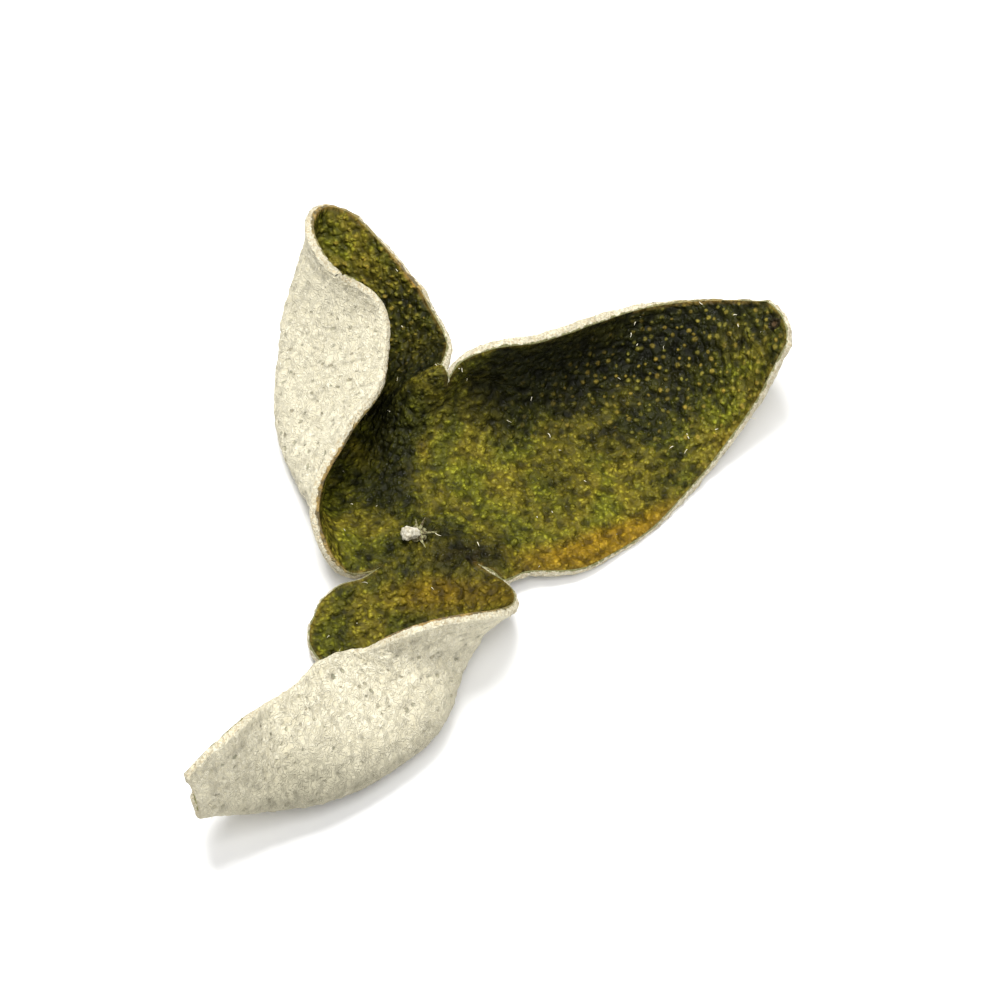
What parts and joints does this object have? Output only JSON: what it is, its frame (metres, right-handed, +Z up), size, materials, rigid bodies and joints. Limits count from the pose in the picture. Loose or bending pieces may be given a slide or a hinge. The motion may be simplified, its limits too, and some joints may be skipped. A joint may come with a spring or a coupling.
{
  "type": "dried orange peel",
  "caption": "Dried green mandarin orange peel turned inside out, joined at the stem, with curled petals, green oily skin inside and white pith outside.",
  "frame": {"origin": "centre of the footprint, on the floor that the peel rests on", "axes": "+Z up, +Y away from the viewer of the picture, +X to the right in it"},
  "size_m": [0.1106, 0.1318, 0.0287],
  "materials": {
    "peel": "dried oily rind, green skin on the inner face and matt cream pith on the outer face",
    "stem_button": "dry and matt"
  },
  "bodies": {
    "root": {"peel": "peel", "stem_button": "stem_button"}
  },
  "joints": []
}
